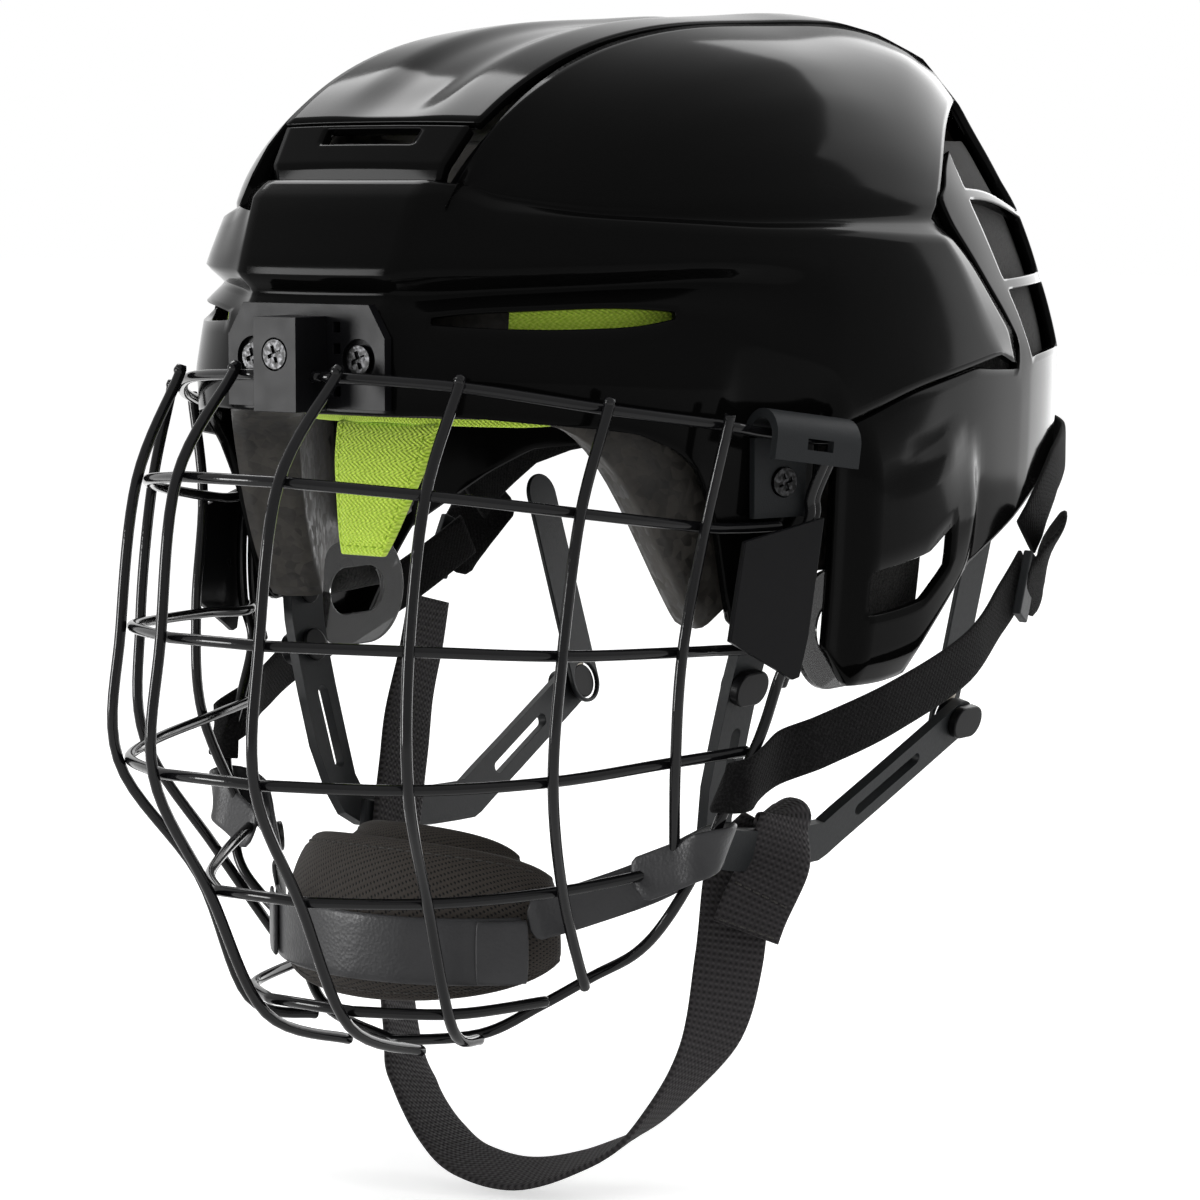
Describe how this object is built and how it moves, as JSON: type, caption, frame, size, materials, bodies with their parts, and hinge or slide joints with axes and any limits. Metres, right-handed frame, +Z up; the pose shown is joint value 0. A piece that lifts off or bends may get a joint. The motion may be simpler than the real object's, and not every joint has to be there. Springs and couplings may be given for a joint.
{
  "type": "hockey helmet with cage",
  "caption": "Two-piece gloss black hockey helmet with a hinged wire face cage, padded chin cup, ear loops, harness and chin strap.",
  "frame": {"origin": "centre of the head space, on the middle plane, level with the cage hinge", "axes": "+X to the wearer's left, +Y to the back of the head, +Z up"},
  "size_m": [0.208, 0.3134, 0.3093],
  "materials": {
    "shell": "gloss",
    "foam": "marbled foam",
    "pad": "brushed fabric",
    "lime": "knit",
    "wire": "gloss coating",
    "hardware": "satin",
    "webbing": "ribbed webbing",
    "clear": "clear",
    "cup": "mesh",
    "band": "satin",
    "clip": "fine texture"
  },
  "bodies": {
    "helmet": {"front_shell": "shell", "vent_insert": "shell", "brow_plate": "clip", "cage_clip": "clip", "clip_screw": "hardware", "brow_screws": "hardware", "screw_nuts": "hardware", "side_clip_left": "clip", "side_clip_right": "clip", "side_clip_screws": "hardware", "front_liner": "foam", "temple_pad_left": "pad", "temple_pad_right": "pad", "brow_pad": "lime", "ear_guard_left": "clear", "ear_guard_right": "clear", "ear_loop_left": "clip", "ear_loop_right": "clip", "front_snaps": "clip", "rear_snaps": "clip", "rear_holder_left": "clip", "rear_holder_right": "clip", "chin_strap": "webbing", "strap_fold": "webbing", "snap_eyelet": "hardware", "snap_keeper": "clip"},
    "rear": {"rear_shell": "shell", "rear_liner": "foam", "crown_pad": "pad", "nape_pad": "pad", "nape_strap": "webbing", "harness_tabs": "band"},
    "cage": {"cross_wire_1": "wire", "cross_wire_2": "wire", "cross_wire_3": "wire", "cross_wire_4": "wire", "cross_wire_5": "wire", "cross_wire_6": "wire", "uprights_a": "wire", "uprights_b": "wire", "uprights_c": "wire", "uprights_d": "wire", "frame_wire": "wire", "side_wires": "wire", "side_plate_left": "clip", "side_plate_right": "clip", "harness_strap_left": "webbing", "harness_strap_right": "webbing"},
    "chin_cup": {"cup_pad": "cup", "cup_liner": "cup", "cup_band": "band", "cup_strap_left": "band", "cup_strap_right": "band", "cup_rivets": "hardware"}
  },
  "joints": [
    {"name": "cage_hinge", "type": "hinge", "parent": "helmet", "child": "cage", "pos_m": [0, -0.1435, 0.0005], "axis": [-1, 0, 0], "range_deg": [0, 100]},
    {"name": "size_slide", "type": "slide", "parent": "helmet", "child": "rear", "axis": [0, 1, 0], "range_m": [0, 0.008]},
    {"name": "chin_cup_tilt", "type": "hinge", "parent": "cage", "child": "chin_cup", "pos_m": [0, -0.0785, -0.1175], "axis": [1, 0, 0], "range_deg": [-10, 4]}
  ]
}
